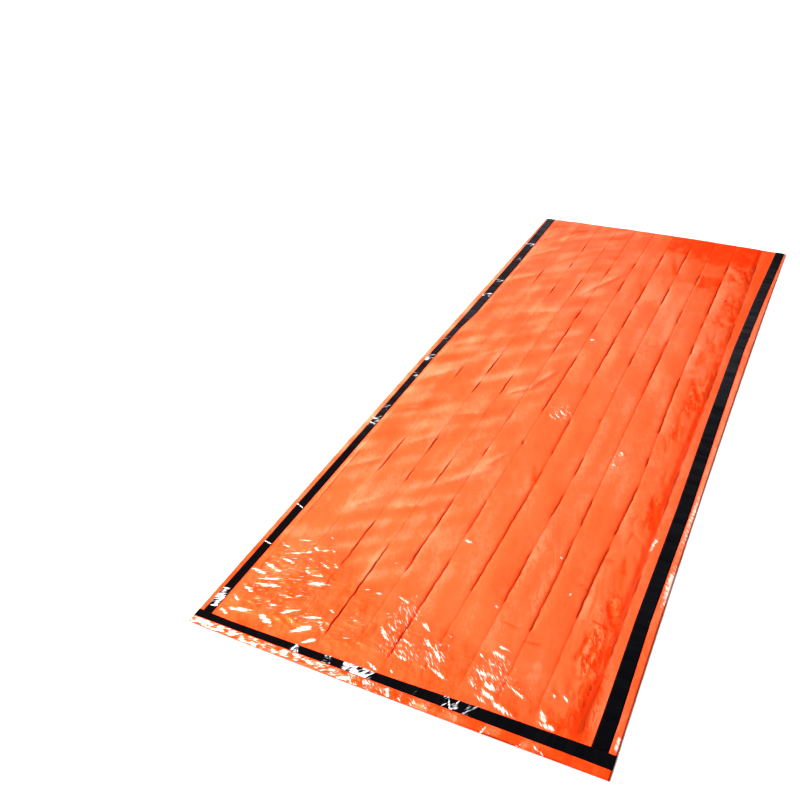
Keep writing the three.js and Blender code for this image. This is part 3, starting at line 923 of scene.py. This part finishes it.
def orangeFilm():
    # the tone attribute, with its painted highlight and shade, painted crumple shade and grain pick its
    # orange from deep to pale; painted shade lines are brown with no coat, and painted glints are pale with a
    # full one
    material, tree, place = newMaterial("orange film")
    drift = mapped(tree, noise(tree, place, filmFinish["patches"], 4.0), (0.3, 0.7), (0.46, 0.54))
    streaks = stretchedNoise(tree, place, filmFinish["toneStreak"], filmFinish["crumpleTurn"], 2.0)
    uneven = mapped(tree, streaks, (0.3, 0.7), (0.32, 0.68))
    level = maths(tree, "MULTIPLY_ADD", marked(tree, "tone"), uneven, drift)
    crumpled = crumpleShade(tree, place)
    creased = maths(tree, "MULTIPLY_ADD", crumpled, filmFinish["crumpleGain"], level)
    fine = noise(tree, place, filmFinish["grain"], 4.0)
    grained = maths(tree, "MULTIPLY_ADD", fine, filmFinish["grainTone"], creased)
    # the ramp's deep and pale ends show the tone's painted shade and painted highlight
    tint = colourRamp(tree, grained, [(0.0, filmFinish["deepOrange"]), (0.5, filmFinish["orange"]),
                                      (1.0, filmFinish["paleOrange"])])
    darker = maths(tree, "MULTIPLY", crumpled, filmFinish["crumpleDark"])
    # painted shade lines: the creases', edges' and pinches' lines, and the crumples' darkest edges
    lines = maths(tree, "MAXIMUM", marked(tree, "paintedShadeLine"), darker)
    lined = mixed(tree, lines, tint, filmFinish["paintedShadeBrown"], data_type="RGBA")
    # painted glint: the colour turns pale and the coat full where the paintedGlint attribute shows
    flashing = brokenMark(tree, place, "paintedGlint", filmFinish["streak"], filmFinish["streakTurns"])
    colour = mixed(tree, flashing, lined, filmFinish["paintedGlint"], data_type="RGBA")
    glossy = mapped(tree, creased, (0, 0.5), (filmFinish["deepCoat"], filmFinish["coat"]))
    between = maths(tree, "MULTIPLY", glossy, maths(tree, "SUBTRACT", 1, lines))
    rough = filmFinish["roughness"]
    normal = bumped(tree, fine, *filmFinish["grainBump"])
    fill(tree, tree.nodes["Principled BSDF"], {
        "Base Color": colour,
        "Coat Weight": maths(tree, "MAXIMUM", between, flashing),
        "Roughness": mapped(tree, fine, (0, 1), (rough - 0.06, rough + 0.08)),
        "Normal": normal,
        "Coat Normal": normal,
        "Metallic": filmFinish["metallic"],
        "Specular IOR Level": filmFinish["specular"],
        "Specular Tint": filmFinish["specularTint"],
        "Coat Roughness": filmFinish["coatRoughness"],
    })
    return material


tapeFinish = {
    "black": (0.0008, 0.0009, 0.0014, 1),
    "grey": (0.036, 0.036, 0.042, 1),     # its bands across, where it has a painted sheen
    "silverGlint": (0.85, 0.85, 0.88, 1),        # painted glint: silver metal on the bright lines where it is pinched
    "sideBands": (6.0, 55.0, 6.0),        # bands per metre across the bag, along it and down
    "footBands": (55.0, 6.0, 6.0),
    "streak": (0.020, 0.0024, 0.020),     # size of the streaks that break up its painted glint, in metres
    "streakTurns": (18, 50),
    "roughness": 0.42,
    "specular": 0.004,
    "grain": 120.0,                       # fine dimples per metre
    "grainBump": (0.15, 0.0005),
}


def blackTape(name, bands):
    # black, with grey bands of painted sheen as strong as the paintedSheen attribute, and a painted glint of
    # silver metal on the pinch attribute
    material, tree, place = newMaterial(name)
    stretched = node(tree, "ShaderNodeMapping", {"Vector": place, "Scale": bands}, "Vector")
    banded = mapped(tree, noise(tree, stretched, 1.0, 4.0), (0.2, 0.85))
    # painted sheen: grey bands where the paintedSheen attribute is strong
    lit = maths(tree, "MULTIPLY", banded, marked(tree, "paintedSheen"))
    tint = colourRamp(tree, lit, [(0.0, tapeFinish["black"]), (1.0, tapeFinish["grey"])])
    # painted glint: silver metal where the pinch attribute shows
    pinch = brokenMark(tree, place, "pinch", tapeFinish["streak"], tapeFinish["streakTurns"])
    fine = noise(tree, place, tapeFinish["grain"], 2.0)
    rough = tapeFinish["roughness"]
    fill(tree, tree.nodes["Principled BSDF"], {
        "Base Color": mixed(tree, pinch, tint, tapeFinish["silverGlint"], data_type="RGBA"),
        "Metallic": pinch,
        "Roughness": mapped(tree, fine, (0, 1), (rough - 0.08, rough + 0.10)),
        "Normal": bumped(tree, fine, *tapeFinish["grainBump"]),
        "Specular IOR Level": tapeFinish["specular"],
    })
    return material


filmMaterial = orangeFilm()
sideTapeMaterial = blackTape("black side tape", tapeFinish["sideBands"])
footTapeMaterial = blackTape("black foot tape", tapeFinish["footBands"])

# The foot edge wanders outwards, by its least and two sizes of waves, left of its right end.
raggedFoot = {"wander": 2.2, "least": 0.4, "fine": 0.6, "fadeIn": 14, "rightEnd": 200, "fadeOut": 80}

print("laying the upper film")
x, y = layGrid(upperSpans, placeRows(), outline["mouthStep"])
z, upperMarks = upperFilmLie(x, y)
outside = smooth((footTapeY("outer", x) - y) / raggedFoot["fadeIn"])
wander = raggedFoot["least"] + waves(x, 0 * y, 34, 34, 25) + raggedFoot["fine"] * waves(x, 0 * y, 11, 11, 26)
leftOfEnd = smooth((raggedFoot["rightEnd"] - x) / raggedFoot["fadeOut"])
y += outside * raggedFoot["wander"] * leftOfEnd * np.clip(wander, 0, None)
upperFilm = filmSheet("upper_film", x, y, z, filmLie["thickness"], upperMarks)
upperFilm.data.materials.append(filmMaterial)
print("upper film", x.shape, "height", round(float(z.min()), 2), round(float(z.max()), 2))

print("laying the lower film")
lowerLie = {"height": 0.9, "swell": 0.25, "lowest": 0.45, "highest": 1.15, "thickness": 0.4}
lowerX, lowerY = layGrid(lowerSpans, np.linspace(0, 1, lowerRows), 0)
nearMouth = smooth((endY("mouthY", lowerX) - lowerY) / 40 + 0.2)
lowerZ = lowerLie["height"] + lowerLie["swell"] * waves(lowerX, lowerY, 120, 90, 41) * nearMouth
lowerZ = np.clip(lowerZ, lowerLie["lowest"], lowerLie["highest"])
lowerFilm = thinSheet("lower_film", lowerX, lowerY, lowerZ, lowerLie["thickness"])
lowerFilm.data.materials.append(filmMaterial)

tapeLie = {
    "above": 0.3, "thickness": 0.4, "wrinkle": 0.4, "pinchWide": 2.2, "scuffHeight": 0.9,
    "across": 9, "sideRows": 900, "footColumns": 500,  # points of the strips' grids
    "footMiddle": -1040, "footPaintedSheen": 0.06,
}
sidePinches = {  # narrow pinches across a side tape: y, height and slant
    "left": [(849, 1.5, 0.3), (731, 0.9, -0.2), (700, 0.6, 0.5), (640, 0.5, 0.1), (559, 1.5, 0.0),
             (448, 1.5, 0.35), (380, 0.5, -0.3), (300, 0.6, 0.4), (154, 0.8, 0.2), (39, 1.3, 0.5),
             (30, 0.9, -0.4), (-56, 1.0, 0.1), (-238, 1.1, 0.5), (-300, 1.4, 0.7), (-312, 1.5, -0.3),
             (-672, 1.6, -0.35), (-810, 1.3, -0.15)],
    "right": [(700, 0.3, 0.1), (140, 0.3, 0.0), (-400, 0.3, 0.2), (-700, 0.3, 0.1)],
}
footPinches = [  # across the foot tape: x, height and slant
    (-207, 1.7, 0.2), (-201, 1.1, -0.5), (-131, 0.9, 0.6), (-124, 0.9, -0.4), (69, 0.9, 0.1),
    (141, 1.3, -0.5), (150, 1.1, 0.3), (177, 1.4, 0.8),
]
crumpledGlints = {  # stretches where the tape is crumpled and a silver glint is painted: from, to, and how much of it
    "left": [(-1022, -962, 0.70), (-330, -286, 0.56), (16, 56, 0.56), (-80, -40, 0.34), (836, 866, 0.46),
             (546, 570, 0.46), (436, 462, 0.5), (700, 760, 0.26), (130, 176, 0.3), (-250, -226, 0.4)],
    "foot": [(-96, -26, 0.8), (-216, -198, 0.7), (-140, -116, 0.5), (120, 190, 0.36)],
    "right": [],
}
paintedSheens = {  # how far a side tape is grey rather than black, a painted sheen, along its length
    "left": {"y": [-1070, -450, -300, 0, 200, 330, 500, 700, 900, 1090],
             "share": [0.04, 0.06, 0.4, 0.35, 0.7, 1.0, 0.6, 0.5, 0.9, 1.1]},
    "right": {"y": [-1070, -700, -400, 0, 200, 500, 700, 900, 1090],
              "share": [0.03, 0.10, 0.16, 0.2, 0.45, 0.55, 0.45, 0.3, 0.1]},
}


def pinched(along, across, pinches, crumpledGlintStretches, seed):
    # sum of narrow slanting bells across the tape, with crumples added on the crumpled stretches, and the
    # share of painted silver glint on both
    rise = sum(height * np.exp(-((along - place - slant * across) / tapeLie["pinchWide"]) ** 2)
               for place, height, slant in pinches)
    silverGlint = np.clip(0.75 * rise, 0, 1)
    for start, end, share in crumpledGlintStretches:
        inside = smooth((along - start) / 12 + 0.5) * smooth((end - along) / 12 + 0.5)
        silverGlint = np.maximum(silverGlint, inside * (share + 0.15 * waves(along, across, 26, 20, seed + 1, turn=35)))
        rise = rise + inside * tapeLie["scuffHeight"] * ridges(along, across, 15, 19, seed + 2, turn=35)
    return rise, silverGlint


def strip(name, x, y, lengths, seed, rise, silverGlint, paintedSheen, material):
    # a strip on the seam, whose upper face has a net of low wrinkles and its pinches
    base = filmLie["seam"] + tapeLie["above"] + tapeLie["thickness"]
    z = base + tapeLie["wrinkle"] * ridges(x, y, *lengths, seed) + rise
    piece = thinSheet(name, x, y, z, tapeLie["thickness"], {"pinch": silverGlint, "paintedSheen": paintedSheen})
    piece.data.materials.append(material)
    return piece


def sideTape(name, tape, side, seed):
    # a strip from the foot tape to the mouth, with narrow pinches across it where the film was folded
    left, right = ("outer", "inner") if side == "left" else ("inner", "outer")
    share = np.linspace(0, 1, tapeLie["across"])[None, :]
    v = np.linspace(0, 1, tapeLie["sideRows"])[:, None]
    x = np.full((tapeLie["sideRows"], tapeLie["across"]), float(tape[0]["outer"]))
    for _ in range(5):
        y = footTapeY("inner", x) + 0.4 + (endY("mouthY", x) - 0.5 - footTapeY("inner", x)) * v
        x = tapeX(tape, left, y) + (tapeX(tape, right, y) - tapeX(tape, left, y)) * share
    rise, silverGlint = pinched(y, x - tape[0]["outer"], sidePinches[side], crumpledGlints[side], seed + 10)
    paintedSheen = against(paintedSheens[side], "y share", y)
    return strip(name, x, y, (60, 30), seed, rise, silverGlint, paintedSheen, sideTapeMaterial)


def acrossFoot(name, seed):
    # a strip from one side edge of the film to the other, pinched in the same way
    share = np.linspace(0, 1, tapeLie["across"])[:, None]
    u = np.linspace(0, 1, tapeLie["footColumns"])[None, :]
    y = np.full((tapeLie["across"], tapeLie["footColumns"]), float(tapeLie["footMiddle"]))
    for _ in range(4):
        x = sideX("leftX", y) + (sideX("rightX", y) - sideX("leftX", y)) * u
        y = footTapeY("outer", x) + (footTapeY("inner", x) - footTapeY("outer", x)) * share
    rise, silverGlint = pinched(x, y - tapeLie["footMiddle"], footPinches, crumpledGlints["foot"], seed + 18)
    paintedSheen = np.full_like(x, tapeLie["footPaintedSheen"])
    return strip(name, x, y, (30, 60), seed, rise, silverGlint, paintedSheen, footTapeMaterial)


print("laying the tapes")
leftTapePiece = sideTape("left_tape", leftTape, "left", 51)
rightTapePiece = sideTape("right_tape", rightTape, "right", 52)
footTapePiece = acrossFoot("foot_tape_strip", 53)

for piece, replaced, finish in [
    (upperFilm, "upper_panel", "orange_film"),
    (lowerFilm, "lower_panel", "orange_film"),
    (leftTapePiece, "side_tape_left", "black_tape"),
    (rightTapePiece, "side_tape_right", "black_tape"),
    (footTapePiece, "foot_tape", "black_tape"),
]:
    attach(piece, "root")
    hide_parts(replaced)

print("setting the studio")
floorMesh = bpy.data.meshes.new("floor")
floorMesh.from_pydata([(-14, -10, 0), (14, -10, 0), (14, 18, 0), (-14, 18, 0)], [], [(0, 1, 2, 3)])
floor = bpy.data.objects.new("floor", floorMesh)
bpy.context.scene.collection.objects.link(floor)
floor.location.z = -0.0005
floorMaterial = bpy.data.materials.new("pale floor")
floorMaterial.use_nodes = True
floorTree = floorMaterial.node_tree
floorFinish = {"Base Color": (studio["floorGrey"],) * 3 + (1,), "Roughness": 0.8}
fill(floorTree, floorTree.nodes["Principled BSDF"], floorFinish)
floorMesh.materials.append(floorMaterial)

world = bpy.data.worlds.new("studio")
bpy.context.scene.world = world
world.use_nodes = True
sky = world.node_tree
towards = node(sky, "ShaderNodeTexCoord", {}, "Generated")
toRight, upwards = (node(sky, "ShaderNodeSeparateXYZ", {"Vector": towards}, axis) for axis in "XZ")
leftwards = maths(sky, "MULTIPLY", toRight, -1)
flagged = maths(sky, "MULTIPLY_ADD", leftwards, studio["flagLean"], upwards)
fromLeft = greyRamp(sky, leftwards, studio["leftness"], *studio["leftnessRange"])
pastFlag = greyRamp(sky, flagged, studio["flag"], *studio["flagRange"])
dome = mixed(sky, 1, fromLeft, pastFlag, data_type="RGBA", blend_type="MULTIPLY")
seen = node(sky, "ShaderNodeLightPath", {}, "Is Camera Ray")
colour = mixed(sky, seen, dome, (1, 1, 1, 1), data_type="RGBA")
fill(sky, sky.nodes["Background"], {"Color": colour, "Strength": studio["skyStrength"]})

sunData = bpy.data.lights.new("overhead light", "SUN")
sunData.angle = math.radians(studio["sun"]["angle"])
sunData.energy = studio["sun"]["strength"]
sun = bpy.data.objects.new("overhead light", sunData)
sun.rotation_euler = Vector(studio["sun"]["towards"]).to_track_quat("Z", "Y").to_euler()
bpy.context.scene.collection.objects.link(sun)
bpy.context.scene.view_settings.view_transform = "Standard"

spot, right, up, back = cameraFrame()
spot = spot - Vector((middle[0] / 1000, middle[1] / 1000, 0))
cameraData = bpy.data.cameras.new("camera")
cameraData.sensor_width = 36
cameraData.lens = view["focalPixels"] / view["imagePixels"] * 36
cameraData.shift_x = (view["imagePixels"] / 2 - view["centrePixels"][0]) / view["imagePixels"]
cameraData.clip_end = 60
camera = bpy.data.objects.new("camera", cameraData)
camera.matrix_world = Matrix((
    (right.x, up.x, back.x, spot.x),
    (right.y, up.y, back.y, spot.y),
    (right.z, up.z, back.z, spot.z),
    (0, 0, 0, 1),
))
bpy.context.scene.collection.objects.link(camera)
bpy.context.scene.camera = camera
